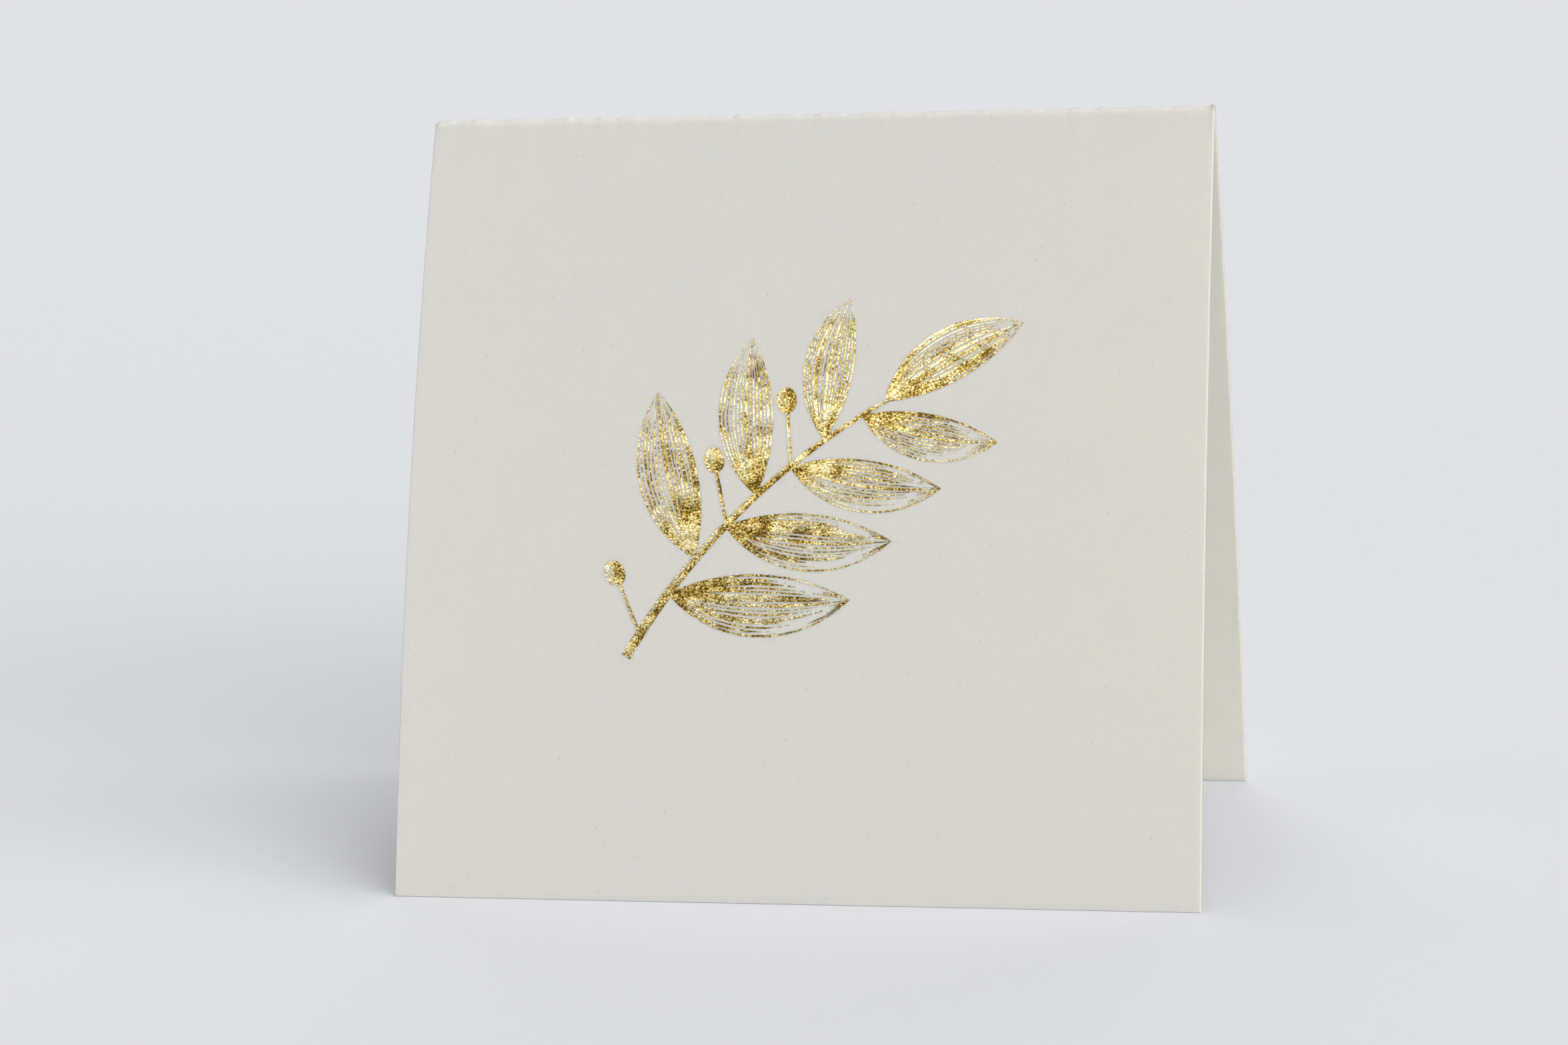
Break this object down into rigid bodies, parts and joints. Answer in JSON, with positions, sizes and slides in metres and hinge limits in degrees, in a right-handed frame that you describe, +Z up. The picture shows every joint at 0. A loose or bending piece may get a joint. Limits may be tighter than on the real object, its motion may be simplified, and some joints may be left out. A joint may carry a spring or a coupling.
{
  "type": "greeting card",
  "caption": "Square greeting card folded along its top edge, standing open as a tent on its lower edges, with bowed panels and a sprig of leaves in gold foil on the front.",
  "frame": {"origin": "on the surface that the card stands on, at the middle of its width and halfway between its two lower edges", "axes": "+X along the fold, to the right of someone who faces the front panel; -Y out of the front panel, towards that person; +Z up"},
  "size_m": [0.127, 0.0868, 0.1192],
  "materials": {
    "card_stock": "uncoated cotton card, ivory, matte, with a fine felt texture",
    "gold_foil": "gold foil pressed on rough card, bright with a fine glitter"
  },
  "bodies": {
    "root": {"card": "card_stock", "foil_sprig": "gold_foil"}
  },
  "joints": []
}
